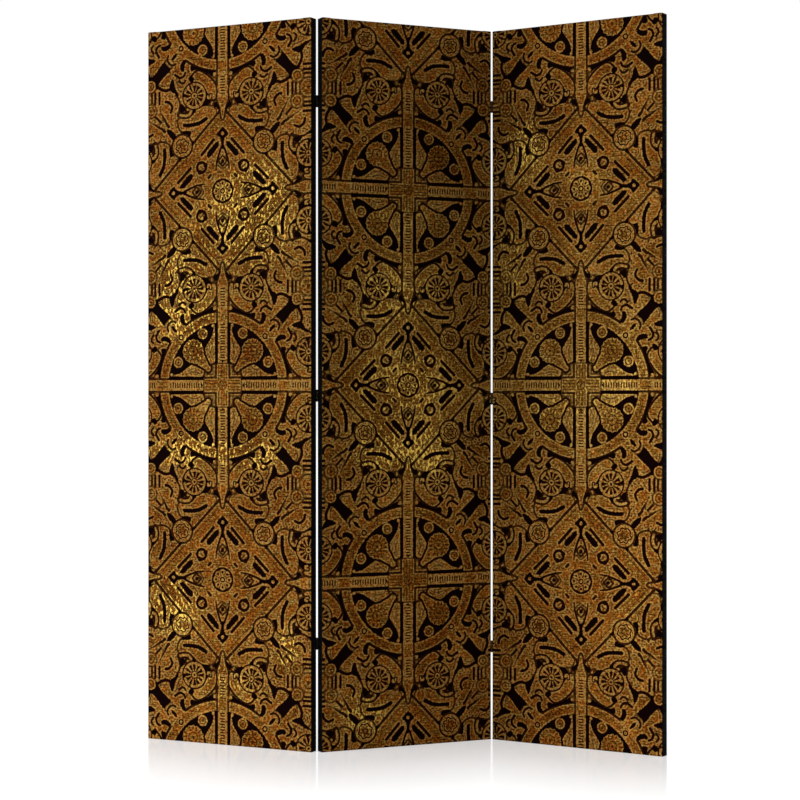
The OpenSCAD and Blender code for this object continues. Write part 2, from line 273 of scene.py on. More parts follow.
class Block:
    """The printing block's triangle as a grid of points a millimetre apart. It keeps two distances,
    so that an edge stays sharp between points: how far a point lies inside the gilding, and how far
    it lies from the nearest dark line, less than zero on the line. It also keeps that line's
    strength, and how light the gilding is."""

    def __init__(self):
        self.a, self.b = np.meshgrid(np.arange(0.0, REPEAT + 1), np.arange(0.0, REPEAT / 2 + 2), indexing="ij")
        self.gilt = np.full(self.a.shape, -9.0)
        self.line = np.full(self.a.shape, 9.0)
        self.ink = np.zeros(self.a.shape)
        self.tone = np.zeros(self.a.shape)

    def disc(self, a, b, r):
        """Distance to a disc: from its centre, less its radius."""
        return np.hypot(self.a - a, self.b - b) - r

    def stroke(self, points, width, end_width=None, smooth=True):
        """Distance to a brush stroke along a curve: the least distance to its short spans, less half
        a width that runs evenly from the first point's to the last point's."""
        line = smooth_line(points) if smooth else np.array(points, float)
        end_width = width if end_width is None else end_width
        n = len(line) - 1
        far = np.full(self.a.shape, 1e9)
        for k, ((xa, ya), (xb, yb)) in enumerate(zip(line[:-1], line[1:])):
            run = max((xb - xa) ** 2 + (yb - ya) ** 2, 1e-9)
            t = np.clip(((self.a - xa) * (xb - xa) + (self.b - ya) * (yb - ya)) / run, 0, 1)
            half = (width + (end_width - width) * (k + t) / n) / 2
            far = np.minimum(far, np.hypot(self.a - xa - t * (xb - xa), self.b - ya - t * (yb - ya)) - half)
        return far

    def patch(self, points, smooth=True):
        """Distance to a closed outline, less than zero inside: the least distance to its edges, with
        the sign of an even or odd count of the edges that lie to the right."""
        line = smooth_line(points, closed=True) if smooth else np.array([*points, points[0]], float)
        inside = np.zeros(self.a.shape, bool)
        for (xa, ya), (xb, yb) in zip(line[:-1], line[1:]):
            if ya != yb:
                crosses = (ya > self.b) != (yb > self.b)
                inside ^= crosses & (self.a < xa + (self.b - ya) * (xb - xa) / (yb - ya))
        far = self.stroke(line, 0, smooth=False)
        return np.where(inside, -far, far)

    def score(self, far, ink=1.0):
        """Scores a dark line: where it is nearer than the lines before it, its own strength holds."""
        self.ink = np.where(far < self.line, ink, self.ink)
        self.line = np.minimum(self.line, far)

    def lay(self, far, rim=4.2, tone=0.0, ink=0.85):
        """Lays a gilt shape: it hides the lines under it, and a dark line of the rim's width runs
        round it."""
        self.line = np.maximum(self.line, -far)
        self.gilt = np.maximum(self.gilt, -far)
        self.tone = np.where(far < 0, tone, self.tone)
        if rim:
            self.score(np.abs(far - rim / 2) - rim / 2, ink)

    def cut(self, far):
        """Cuts a shape down to the black ground."""
        self.gilt = np.minimum(self.gilt, far)


def scrollwork(k):
    """Scrolls and straps that fill the ground between the rings and the lozenges, gilt all over first."""
    k.lay(175 - np.hypot(k.a, k.b), rim=0)
    # long leaf beside the lozenge, with its curled end and round foot
    k.score(k.stroke([(290, 122), (296, 112), (303, 110)], 3.4), 0.8)
    k.lay(k.patch([(283, 118), (285, 100), (281, 88), (270, 79), (262, 66), (259, 50), (260, 36), (268, 22),
                   (290, 22), (312, 46), (336, 70), (330, 92), (320, 100), (314, 116), (304, 122),
                   (292, 124)]), ink=0.8)
    k.cut(k.patch([(253, 110), (250, 117), (258, 119), (269, 118), (270, 108), (262, 104)]))
    k.lay(k.stroke([(276, 120), (279, 106), (277, 94), (269, 88), (263, 91), (264, 98)], 7, 8),
          tone=0.1, ink=0.95)
    k.cut(k.patch([(262, 76), (266, 83), (275, 84.5), (283, 90), (276, 80), (268, 74)]))
    k.lay(k.disc(276, 32, 13.5), rim=2.8, tone=0.15, ink=0.4)
    k.score(k.disc(285, 20, 2.4), 0.5)
    k.cut(k.stroke([(302, 107), (302.5, 96), (302, 82), (299.5, 66), (294, 54), (290, 46)], 9, 9.5))
    k.lay(k.disc(329, 78.5, 12), rim=3.0, tone=0.15, ink=0.55)
    k.cut(k.patch([(315.5, 98), (316, 110), (321, 115), (324, 101), (330, 92), (325, 88.5), (318, 89)]))
    # bodies of the scrolls
    k.score(k.stroke([(226, 131), (238, 123), (250, 119), (262, 121), (280, 124)], 4.0), 0.9)
    k.score(k.stroke([(242, 160), (243.5, 152), (249, 145), (257.5, 141), (269, 145.5)], 6.0, 5.0), 1.0)
    for a, b in ((231, 141), (236, 133), (247, 131), (259, 131), (272, 132), (229, 151), (228, 162), (306, 131),
                 (300, 139), (284, 137), (290, 131)):
        k.score(k.disc(a, b, 2.4), 0.7)
    # straps that cross between two scrolls, and the slot at their end
    k.score(k.stroke([(274, 191), (282, 183), (292, 174)], 3.4, 6.8), 0.95)
    k.score(k.stroke([(272, 171), (288, 160.5), (296, 157), (303, 150.5)], 3.4, 6.8), 0.95)
    k.score(k.stroke([(258, 177), (280, 168), (290, 168)], 3.2), 0.6)
    k.cut(k.patch([(309, 157), (320, 154), (329, 146), (335.5, 139), (332, 131), (327, 129.5), (319, 136),
                   (311, 146)]))


def lozenge_and_rosette(k):
    """The lozenge, and the ground of a round rosette that overlaps the middle of each of its sides. The
    distance to a side is the sum of a point's ways from the lozenge's centre along both axes, less
    the lozenge's reach, over the root of two."""
    k.lay((REPEAT - k.a + k.b - LOZENGE) / math.sqrt(2), rim=5.6, tone=0.1, ink=0.95)
    k.cut(k.patch([(341, 86), (352.5, 85), (346, 78), (343, 72)], False))
    k.lay(k.disc(*ROSETTE, 26.5), tone=0.1, ink=0.9)


def wheel_and_crescent(k):
    """A wheel, with a crescent leaf between it and the ring. The wheel's petals are added later."""
    k.cut(k.patch([(159, 88), (172.5, 88), (170, 72), (176, 52), (189, 28), (184, 19), (176, 22), (172, 45),
                   (164, 70)]))
    k.cut(k.patch([(226, 50), (244, 52), (254, 60), (259, 57), (258, 43), (251, 35), (240, 32), (229, 38)]))
    k.cut(k.patch([(253, 24), (262, 24.5), (264, 15), (256, 13)]))
    k.lay(k.stroke([(229, 22), (244, 26), (256, 31)], 7, 5), rim=3.4, ink=0.7)
    k.lay(k.patch([(182, 82), (191, 86), (200, 80), (201, 70), (207, 58), (218, 48), (231, 40), (242, 31),
                   (244, 23), (232, 17.5), (214, 19), (197, 31), (182, 49), (174, 68)]), tone=0.15, ink=0.95)
    k.cut(k.patch([(184, 90), (189, 95.5), (195, 93), (200, 86), (194, 79), (187, 82)]))
    k.lay(k.disc(184, 22, 5.2), tone=0.3, ink=0.6)
    k.score(np.maximum(np.abs(k.b - 17) - 2.4, np.maximum(190 - k.a, k.a - 214)), 0.9)
    k.lay(k.disc(*WHEEL, 31.5), rim=2.8, ink=0.95)
    k.cut(k.patch([(222, 110), (236, 111), (231.5, 99)], False))
    k.lay(k.stroke([(233, 33), (240, 34.5), (241, 40), (236, 41)], 4.5, 6.5), rim=2.6, tone=0.4, ink=0.9)


def knot_and_trumpets(k):
    """A knot that grips the ring, with a pair of trumpet stems that run to the four bosses."""
    k.cut(k.patch([(144, 107), (146, 111), (152, 116), (161, 119), (171, 116), (172, 107), (163, 107),
                   (155, 105), (149, 102)]))
    k.score(k.stroke([(178, 134), (183, 126), (187, 118), (183, 108), (175, 104)], 5.6, 4.4), 1.0)
    k.score(k.stroke([(194, 122), (200, 114), (199, 107), (194, 103)], 5.0, 4.0), 0.95)
    k.score(k.stroke([(204, 92), (214, 90)], 3.4), 0.8)
    k.score(k.stroke([(190, 133), (196, 128), (206, 126), (216, 122), (222, 116)], 3.2), 0.6)
    k.cut(k.patch([(188, 141), (200, 147.5), (211, 149.5), (218, 144), (224, 134), (234, 124), (226, 124),
                   (217, 129), (206, 134), (196, 136)]))
    k.cut(k.patch([(150, 154), (157, 152), (163, 144), (167, 145), (176, 157), (184, 167), (192, 175),
                   (200, 180), (210, 181), (206, 206), (175, 182)], False))
    k.lay(k.patch([(164, 143), (172, 152), (182, 164), (192, 174), (201, 180), (207, 170), (208, 158),
                   (205, 150), (196, 147), (186, 141), (176, 134), (166, 134)]), rim=0, tone=0.1)
    k.score(k.stroke([(206, 181), (212.5, 169), (215, 159), (213.5, 150)], 6.2), 1.0)
    k.score(k.stroke([(199, 178), (203, 168), (203, 157)], 3.0), 0.6)
    k.lay(k.patch([(112, 138), (120, 124), (140, 112), (158, 122), (168, 133), (163, 144), (152, 160),
                   (140, 166), (122, 158)]), rim=0, tone=0.12)
    k.score(k.stroke([(162, 140), (159, 152), (148, 162)], 3.2), 0.6)
    k.score(k.stroke([(152, 131), (155, 140), (150, 150)], 4.4), 0.95)
    k.cut(k.patch([(126, 127), (134, 129), (142, 137), (143.5, 143.5), (137, 142), (129, 134)]))


def bosses_and_clasps(k):
    """Five bosses where four fillings meet, and clasps of dark bars between them."""
    for height, width, ink in ((177.5, 5.2, 1.0), (189.5, 5.0, 1.0), (199, 4.2, 0.95), (210, 4.0, 0.7)):
        k.score(k.stroke([(219, height), (246, height)], width, smooth=False), ink)
    for boss in BOSSES:
        k.lay(k.disc(*boss), tone=0.15, ink=0.6)


def ring_and_filling(k):
    """The ring, and what fills it: a leaf and a disc beside each beam, and a fluted fruit on a stem
    from the corner of the central square."""
    r = np.hypot(k.a, k.b)
    within = r < RING_OUT
    k.gilt = np.where(within, np.clip(np.minimum(r - RING_IN, RING_OUT - r + 3), -9, 9), k.gilt)
    k.line = np.where(within, np.maximum(k.line, RING_OUT - r), k.line)
    k.tone = np.where(within, 0.05, k.tone)
    k.score(np.maximum(np.abs(r - 178.3) - 2.7, k.b - 104), 0.95)
    # the overlapping square, and the leaf beside the beam
    corner = np.maximum(k.a, k.b)
    low = np.minimum(k.a, k.b)
    k.lay(corner - 52, rim=0, tone=0.2)
    k.score(np.maximum(np.abs(low - 18.5) - 2.0, corner - 52), 0.9)
    k.score(np.maximum(np.abs(low - 26) - 1.1, corner - 52), 0.7)
    k.score(np.maximum(np.abs(low - 33) - 1.6, corner - 50), 0.85)
    k.lay(k.patch([(54, 24), (52, 36), (58, 48), (70, 53), (80, 52), (92, 47), (104, 39), (116, 31), (128, 27),
                   (140, 25), (139, 21.5), (118, 21), (85, 21), (60, 20.5)]), rim=3.8, tone=0.05, ink=0.9)
    k.lay(k.disc(142.5, 26, 4.2), rim=0, tone=0.5)
    k.score(k.stroke([(62, 27), (70, 31), (82, 32), (94, 28.5)], 3.0), 0.6)
    k.score(k.stroke([(72, 42), (84, 40), (98, 34)], 2.8), 0.5)
    # the fruit
    turn = np.arctan2(k.b - FRUIT[1], k.a - FRUIT[0])
    fruit = k.disc(*FRUIT, 0) - 29.5 - 1.2 * np.cos(15 * turn)
    stem = k.stroke([(38, 38), (48, 48), (58, 58), (70, 70)], 9, 36)
    k.lay(np.minimum(np.minimum(fruit, stem), k.disc(40, 40, 7.5)), rim=4.2, tone=0.12, ink=1.0)
    k.lay(k.disc(124, 55.5, 13.5), rim=0, tone=0.2)


def beams(k):
    """The beams that cross in each ring's centre, with the ground of their knot, and their spearheads,
    which point at the lozenges."""
    k.cut(k.patch([(248, 21), (254, 15), (262, 10), (274, 7), (268, 14), (260, 20)]))
    beam = np.maximum(k.b - 13.2, k.a - 236)
    edge = [(212, 13), (226, 13.6), (238, 14.6), (247, 13.8), (255, 11), (264, 7.4), (275, 5), (286, 3.6)]
    spearhead = k.patch([*edge, (293, 0), *((a, -b) for a, b in reversed(edge))])
    k.lay(np.minimum(beam, spearhead), tone=0.12, ink=0.85)
    k.lay(np.maximum(k.b - 16.2, k.a - 51), rim=2.2, tone=0.22, ink=0.8)
    k.cut(np.maximum(np.abs(k.b - 16.4) - 2.9, np.maximum(54 - k.a, k.a - 150)))


def lozenge_filling(k):
    """What fills a lozenge: slots along its sides, an open petal from each corner, a heart-shaped
    ring on each side's middle line, and the ground of a rosette."""
    k.cut(k.patch([(311, -2), (318, 7), (329, 16.5), (335, 9), (343, 4.6), (360, 3.4), (366, 0), (360, -3.4),
                   (343, -4.6), (335, -9), (329, -16.5), (318, -7)]))
    k.lay(k.disc(327.5, 0, 4.6), rim=0, tone=0.5)
    k.score(k.stroke([(341, 25), (376, 58)], 6.4, smooth=False), 1.0)
    k.cut(k.patch([(345, 11), (347, 18), (370, 42), (379, 45), (383.5, 39), (380, 31), (356, 10)], False))
    k.score(k.stroke([(358, 2), (368, 7), (379, 11), (392, 15.5), (404, 17.5), (415, 18.5)], 4.8, 2.4), 1.0)
    k.score(k.patch([(389, 0), (394, 4.2), (399, 0), (394, -4.2)]), 1.0)
    k.score(k.stroke([(380, 0), (388, 8), (393, 10.5), (398, 8), (406, 0)], 3.2), 0.9)
    k.score(k.stroke([(402, 14), (408, 8), (413, 0)], 3.0), 0.7)
    k.lay(k.disc(407, 58.5, 17), rim=0, tone=0.08)
    k.score(np.abs(k.disc(406.5, 58.8, 12.5)) - 2.8, 1.0)
    k.score(np.minimum(k.disc(402, 47, 5.2), k.disc(418, 63, 5.2)), 1.0)
    k.score(k.stroke([(404, 61), (410, 55)], 3.2, smooth=False), 0.7)
    k.score(k.stroke([(426, 33), (432, 39)], 6.0, smooth=False), 0.95)
    k.score(k.stroke([(436, 22), (442, 18)], 3.4, smooth=False), 0.7)
    k.score(k.stroke([(388, 26), (396, 34), (392, 42)], 3.2), 0.6)
    k.lay(np.hypot(REPEAT - k.a, k.b) - 38, rim=0, tone=0.08)


def carve():
    """The finished block's fields: each motif is laid over or cut into the ones before it."""
    k = Block()
    for motif in (scrollwork, lozenge_and_rosette, wheel_and_crescent, knot_and_trumpets, bosses_and_clasps,
                  ring_and_filling, beams, lozenge_filling):
        motif(k)
    return {"gilt": np.clip(k.gilt, -6, 9), "line": np.clip(k.line, -6, 9), "ink": k.ink, "tone": k.tone}


def folded(x, z):
    """Place on the block's triangle of a point of the print, in mm: its distances along both axes
    from the nearest ring's centre, mirrored about the diagonals until b is the least of them."""
    a = REPEAT - np.abs(x % (2 * REPEAT) - REPEAT)
    b = REPEAT - np.abs((z - LOW_RING) % (2 * REPEAT) - REPEAT)
    over = np.maximum(a + b - REPEAT, 0)
    return np.maximum(a, b) - over, np.minimum(a, b) - over


def stamp(field, x, z):
    """The block's value at points of the print: the mean of the four points of the block's grid round
    each folded point, weighted by nearness."""
    a, b = folded(x, z)
    i, j = np.minimum(a.astype(int), field.shape[0] - 2), np.minimum(b.astype(int), field.shape[1] - 2)
    u, v = a - i, b - j
    return ((field[i, j] * (1 - u) + field[i + 1, j] * u) * (1 - v)
            + (field[i, j + 1] * (1 - u) + field[i + 1, j + 1] * u) * v)


class Motif:
    """A small round motif of the print, drawn by nodes: the distance from its centre and the bearing
    round it of each folded point."""

    def __init__(self, a, b, centre_a, centre_b):
        self.a, self.b = a - centre_a, b - centre_b
        self.r = (self.a * self.a + self.b * self.b).math("SQRT")
        self.turn = self.b.math("ARCTAN2", self.a)

    def disc(self, radius):
        """Distance to a disc: from its centre, less its radius."""
        return self.r - radius

    def ring(self, radius, width):
        """Distance to a ring: from its mean radius, less half its width."""
        return abs(self.r - radius) - width / 2

    def rays(self, count, half_width, low, high, shift=0.0):
        """Distance to spokes: the arc to the nearest of them is the radius times the sine of the
        bearing times half their count, plus a shift, over that half; they end between two radii."""
        arc = abs((self.turn * (count / 2) + shift).sine()) * self.r / (count / 2)
        return (arc - half_width).most(abs(self.r - (low + high) / 2) - (high - low) / 2)


def fine_motifs(tree, place):
    """The motifs too fine for the mesh to carry, drawn on the same folded plane in mm: a wheel's
    petals and hub, rosettes, bosses' rings, a fruit's flutes, an eyelet, the beams' knot of strands
    and ladder, a wave that runs round the ring, and a line along the lozenge's sides.
    Gives how near each point is to their strong lines and to their soft ones."""
    axes = axes_of(tree, place)
    x = (axes[0] * 1000.0).math("PINGPONG", REPEAT)
    z = (axes[1] * 1000.0 - LOW_RING).math("PINGPONG", REPEAT)
    over = (x + z - REPEAT).most(0.0)
    a, b = x.most(z) - over, x.least(z) - over
    wheel, rosette, fruit, eyelet = (Motif(a, b, *middle) for middle in (WHEEL, ROSETTE, FRUIT, EYELET))
    flower = Motif(a, b, REPEAT, 0.0)
    knot = Motif(a, b, 0.0, 0.0)
    wedge = (wheel.r - 10.0) * 0.155 + 1.0
    wedge = wedge * ((wheel.turn * 4.0 - 1.0).math("COSINE") * 0.12 + 1.0)
    ladder = (-(a + 3.3).math("PINGPONG", 3.3) + 2.0).most(b - 6.4)
    ladder = ladder.most((abs(a - 102.0) - 48.0).least(abs(a - 211.0) - 25.0))
    strong = (wheel.rays(12, wedge, 10.0, 25.0), wheel.disc(2.8), wheel.ring(8.2, 2.0),
              abs(rosette.r - 17.0 - (rosette.turn * 7.0 + 0.9).math("COSINE") * 1.8) - 1.6,
              (flower.r - 29.8).most((flower.turn * 8.0).math("COSINE") * 1.2 + 24.2 - flower.r),
              flower.ring(5.4, 2.8), flower.rays(8, 2.2, 15.2, 20.8),
              eyelet.ring(5.6, 3.4), Motif(a, b, 57.5, 0.0).disc(2.6), ladder)
    strands = (abs(b - 4.1) - 0.8).least(abs(b - 11.2) - 0.8).most(abs(a - 32.0) - 17.0)
    on_ring = abs(knot.r - 163.5 - (knot.turn * 36.0).math("COSINE") * 4.0) - 0.7
    on_ring = on_ring.most(-b + 17.0).most(-eyelet.r + 9.0)
    on_lozenge = abs((b - a + (REPEAT - LOZENGE)) * math.sqrt(0.5) + 8.5) - 0.7
    on_lozenge = on_lozenge.most(-rosette.r + 27.5)
    soft = [strands, on_ring, on_lozenge, knot.disc(2.4), knot.ring(10.5, 2.0), knot.rays(8, 0.7, 4.0, 10.0),
            rosette.ring(6.0, 2.4), rosette.rays(7, 1.1, 8.0, 14.0),
            flower.rays(8, 1.0, 9.0, 25.0, math.pi / 2),
            fruit.disc(3.4), fruit.rays(15, 1.1, 18.0, 29.0), fruit.ring(12.0, 2.2)]
    for centre_a, centre_b, radius in (*BOSSES, (124, 55.5, 13)):
        boss = Motif(a, b, centre_a, centre_b)
        soft += [boss.disc(0.2 * radius), boss.ring(0.62 * radius, 1.9)]
    nearest = []
    for group in (strong, soft):
        least = group[0]
        for far in group[1:]:
            least = least.least(far)
        nearest.append(least)
    return nearest


THREAD_PITCH = 0.0054
WEAVE_PITCH = 0.0012


def printed_canvas():
    """Canvas printed with gilding on a near-black ground, and plain black beyond the print. Gold runs
    from bronze to pale gold by the sum of thread rows, even threads, flecks and the block's tone. It
    turns from orange to olive in blotches, is paler just inside every edge and brown on the scored
    lines, and has bright foil flecks where the glint spots lie: metallic, with a painted highlight in
    their pale gold colour. Painted shade and painted light from the "shade" attribute dim or brighten
    it. The height is a plain weave, two crossed waves, with the gilding's rows standing on it."""
    made, tree = new_material("printed canvas")
    place = add_node(tree, "ShaderNodeUVMap", uv_map="print").outputs[0]
    field = {name: attribute_of(tree, name)
             for name in ("gilt", "line", "ink", "tone", "shade", "glint", "olive", "printed")}
    rows = noise_at(tree, stretch(tree, place, (70.0, 260.0, 1.0)), 1.0, 1.5, 0.5, flat=True)
    flecks = noise_at(tree, place, 190.0, 1.5, 0.5, flat=True)
    grain = noise_at(tree, stretch(tree, place, (700.0, 1100.0, 1.0)), 1.0, 1.0, flat=True)
    blotch = noise_at(tree, place, 55.0, 2.0, flat=True)
    cloud = noise_at(tree, place, 9.0, 3.0, flat=True)
    strong, soft = fine_motifs(tree, place)
    ragged = field["gilt"] + (flecks - 0.5) * 1.6
    gilded = ragged.ease(-0.5, 0.6) * field["printed"]
    on_line = (field["line"] + (rows - 0.5) * 0.3).ease(1.3, 0.1) * field["ink"]
    on_line = on_line.most(strong.ease(0.6, -0.4)).most(soft.ease(0.7, -0.3) * 0.8)
    edge = ragged.least(field["line"] + (-field["ink"] + 1.0) * 3.0).least(strong + 0.5)
    rim = edge.ease(0.3, 1.3) * edge.ease(4.6, 2.4)
    axes = axes_of(tree, place)
    threads = (axes[1] * (2 * math.pi / THREAD_PITCH) + flecks * 2.0).sine()
    threads = threads * blotch.ease(0.35, 0.65)
    level = ((rows - 0.5) * 0.68 + (flecks - 0.5) * 1.4 + (grain - 0.5) * 0.2 + (cloud - 0.5) * 0.6
             + threads * 0.15 + field["tone"] * 0.4 + rim * 0.18 + 0.49)
    gold = colour_ramp(tree, level, [(0.0, (0.026, 0.0055, 0.0009)), (0.28, (0.098, 0.029, 0.0026)),
                                     (0.5, (0.196, 0.069, 0.0068)), (0.72, (0.300, 0.122, 0.0165)),
                                     (0.88, (0.42, 0.200, 0.040)), (1.0, (0.60, 0.34, 0.085))])
    orange, olive = (times(tree, gold, tint) for tint in ((1.12, 0.88, 0.66), (0.88, 1.05, 1.18)))
    greenish = (blotch + field["glint"] * 0.2 + field["olive"] * 0.2).ease(0.32, 0.74)
    tinted = mix_colours(tree, greenish, orange, olive)
    paler = mix_colours(tree, rim * flecks.ease(0.3, 0.6) * 0.7, tinted, (0.45, 0.250, 0.062, 1))
    foil = noise_at(tree, stretch(tree, place, (170, 85, 1), 0.6), 1.0, 1.5, flat=True)
    glint_spots = field["glint"]
    spark = (foil + glint_spots * 0.12 + (cloud - 0.5) * 0.25 + rim * 0.07).ease(0.665, 0.73) * glint_spots.ease(0.05, 0.6)
    # Foil glints: a metallic share, and a painted highlight in their pale gold colour.
    sparkling = mix_colours(tree, spark, paler, (0.64, 0.42, 0.075, 1))
    lined = mix_colours(tree, on_line, sparkling, (0.010, 0.0015, 0.0008, 1))
    ground = mix_colours(tree, grain, (0.0014, 0.0003, 0.0007, 1), (0.0065, 0.0010, 0.0009, 1))
    # Painted shade and painted light: the print's colour times the "shade" attribute.
    inked = times(tree, mix_colours(tree, gilded, ground, lined), field["shade"])
    black = mix_colours(tree, grain * 0.6 + rows * 0.4, (0.0012, 0.0012, 0.0012, 1),
                        (0.0085, 0.0080, 0.0078, 1))
    colour = mix_colours(tree, field["printed"], black, inked)
    warp, weft = ((axis * (2 * math.pi / WEAVE_PITCH)).sine() for axis in axes[:2])
    height = warp * weft * 0.5 + rows * 1.4 * gilded + grain * 0.5
    roughness = on_line * 0.25 - gilded * 0.2 + rows * 0.1 + 0.62
    finish_with(tree, colour, roughness, height, 0.00015, 0.7, Specular_IOR_Level=0.01,
                Metallic=spark * gilded * (-on_line + 1.0) * 0.6)
    return made


# The canvases: a printed sheet per panel, pulled over the front of the pine frame and folded round
# its four edges, where it is black, with a pleat tucked in at each corner. It is turned over as a
# hem on the back, and held by the back cloth's staples.
canvas_low, canvas_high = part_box("middle_panel_canvas")
panel_w, panel_h = canvas_high[0] - canvas_low[0], canvas_high[2] - canvas_low[2]
CANVAS_STEP = 0.003
FRONT_Y, ARRIS = -0.0125, 0.001
HEM_Y, BACK_FOLD, HEM = 0.0122, 0.0006, 0.026
PLEAT_W, PLEAT_T, PLEAT_END = 0.021, 0.0007, 0.995
NEARLY = 0.9999  # share of half the width or height from which a rim point counts as at the edge


def grid_quads(grid):
    """The faces of a grid of points, from the points' numbers in rows."""
    return np.stack([grid[:-1, :-1], grid[1:, :-1], grid[1:, 1:], grid[:-1, 1:]], -1).reshape(-1, 4)


def canvas_sheet():
    """A canvas in its panel's own frame. The front is a grid over width and height, at the depth of
    the panel's face. Round it runs a band whose rows are the front's rim, scaled to the width, height
    and depth that a profile of the fold gives; the top is thicker where the corners' pleats lie.
    Also gives each point's place on the flat cloth and whether it is printed."""
    half_w, half_h = panel_w / 2, panel_h / 2
    nx, nz = round(panel_w / CANVAS_STEP) + 1, round(panel_h / CANVAS_STEP) + 1
    x, z = np.meshgrid(np.linspace(-1, 1, nx), np.linspace(-1, 1, nz), indexing="ij")
    front = np.c_[x.ravel() * (half_w - ARRIS), np.full(x.size, FRONT_Y), z.ravel() * (half_h - ARRIS)]
    index = np.arange(nx * nz).reshape(nx, nz)
    rim = np.r_[index[:-1, 0], index[-1, :-1], index[:0:-1, -1], index[0, :0:-1]]
    inset = np.array([ARRIS * 0.3, 0, 0, BACK_FOLD * 0.3, BACK_FOLD, HEM])
    depth = np.array([ARRIS * 0.3 + FRONT_Y, ARRIS + FRONT_Y, HEM_Y - BACK_FOLD, HEM_Y - BACK_FOLD * 0.3,
                      HEM_Y, HEM_Y])
    ux, uz = front[rim, 0] / (half_w - ARRIS), front[rim, 2] / (half_h - ARRIS)
    band = np.stack([np.outer(half_w - inset, ux), np.repeat(depth[:, None], len(rim), 1),
                     np.outer(half_h - inset, uz)], axis=-1)
    pleat = (uz > NEARLY) & (np.abs(ux) * half_w > half_w - PLEAT_W) & (np.abs(ux) < PLEAT_END)
    band[1:5, :, 2] += np.where(pleat, PLEAT_T, 0.0)
    points = np.vstack([front, band.reshape(-1, 3)])
    points[:, 2] += half_h
    rows = np.vstack([rim[None], nx * nz + np.arange(len(inset) * len(rim)).reshape(len(inset), -1)])
    quads = np.vstack([grid_quads(index), grid_quads(np.c_[rows, rows[:, 0]])])
    along = np.hypot(np.diff(np.r_[ARRIS, inset]), np.diff(np.r_[FRONT_Y, depth])).cumsum()
    flat_x, flat_z = (np.r_[front[:, axis], (np.tile(front[rim, axis], (len(inset), 1))
                      + np.outer(along, np.where(np.abs(share) > NEARLY, np.sign(share), 0))).ravel()]
                      for axis, share in ((0, ux), (2, uz)))
    printed = np.r_[np.ones(nx * nz), np.zeros(band.shape[0] * band.shape[1])]
    return points, quads, flat_x, flat_z + half_h, printed


def add_object(name, data):
    """Puts a new object into the scene."""
    made = bpy.data.objects.new(name, data)
    bpy.context.scene.collection.objects.link(made)
    return made


def mesh_object(name, points, faces, material):
    """A smooth mesh object from arrays of points and of faces that all have as many corners."""
    mesh = bpy.data.meshes.new(name)
    mesh.vertices.add(len(points))
    mesh.vertices.foreach_set("co", points.astype(np.float32).ravel())
    mesh.loops.add(faces.size)
    mesh.loops.foreach_set("vertex_index", faces.ravel().astype(np.int32))
    mesh.polygons.add(len(faces))
    mesh.polygons.foreach_set("loop_start", np.arange(0, faces.size, faces.shape[1], dtype=np.int32))
    mesh.polygons.foreach_set("use_smooth", np.ones(len(faces), bool))
    mesh.update(calc_edges=True)
    mesh.validate()
    mesh.materials.append(material)
    return add_object(name, mesh)


def give_attribute(made, name, values):
    """Keeps a number for each point of a mesh, for its material to read."""
    made.data.attributes.new(name, "FLOAT", "POINT").data.foreach_set("value", np.asarray(values, np.float32))


def give_uv(made, name, u, v):
    """Keeps a flat place for each corner of a mesh, from arrays with one value a point."""
    corner = np.empty(len(made.data.loops), np.int32)
    made.data.loops.foreach_get("vertex_index", corner)
    flat = np.c_[u[corner], v[corner]].astype(np.float32)
    made.data.uv_layers.new(name=name).data.foreach_set("uv", flat.ravel())


def bells(x, z, spots):
    """A sum of bell curves over the print: each spot is a middle, two spreads and a height."""
    return sum(high * np.exp(-((x - mid_x) / wide) ** 2 - ((z - mid_z) / tall) ** 2)
               for mid_x, mid_z, wide, tall, high in spots)


# Spots of painted shade, which darken the gilding, and, with a height below nought, of painted light,
# which brighten it; spots where the gilding has foil glints, metallic with a painted highlight in
# their colour; and where it is greener. Places and spreads are in mm of the print.
PAINTED_SHADE_AND_LIGHT = [(190, 1350, 150, 420, 0.24), (0, 1500, 220, 260, 0.15), (20, 560, 170, 330, -0.25),
        (640, 620, 130, 640, -0.46), (500, 480, 200, 420, -0.10), (-440, 1180, 260, 170, 0.14),
        (-450, 150, 320, 300, -0.18)]
FOIL_AND_PAINTED_GLINTS = [(-370, 1285, 80, 100, 0.8), (-440, 1230, 190, 150, 0.4), (-600, 1070, 70, 120, 0.6),
         (-520, 980, 60, 90, 0.4), (-560, 700, 110, 40, 0.7), (-370, 690, 70, 40, 0.6),
         (-450, 800, 180, 120, 0.25), (-600, 330, 80, 90, 0.7), (-290, 240, 40, 60, 0.6),
         (-450, 150, 150, 80, 0.4), (-60, 700, 100, 40, 0.6), (50, 690, 60, 45, 0.7),
         (0, 850, 200, 150, 0.55), (-40, 1090, 170, 90, 0.5), (-20, 1270, 140, 70, 0.35),
         (-120, 80, 90, 70, 0.5), (320, 1450, 60, 80, 0.7), (280, 1150, 60, 200, 0.45),
         (480, 1340, 130, 60, 0.3), (560, 880, 140, 150, 0.35), (380, 790, 110, 90, 0.3),
         (600, 300, 80, 200, 0.3)]
OLIVE = [(440, 950, 280, 350, 1.1), (0, 950, 260, 600, 0.7), (450, 1420, 200, 200, 0.15)]
canvas_print = printed_canvas()
block = carve()
points, quads, flat_x, flat_z, printed = canvas_sheet()
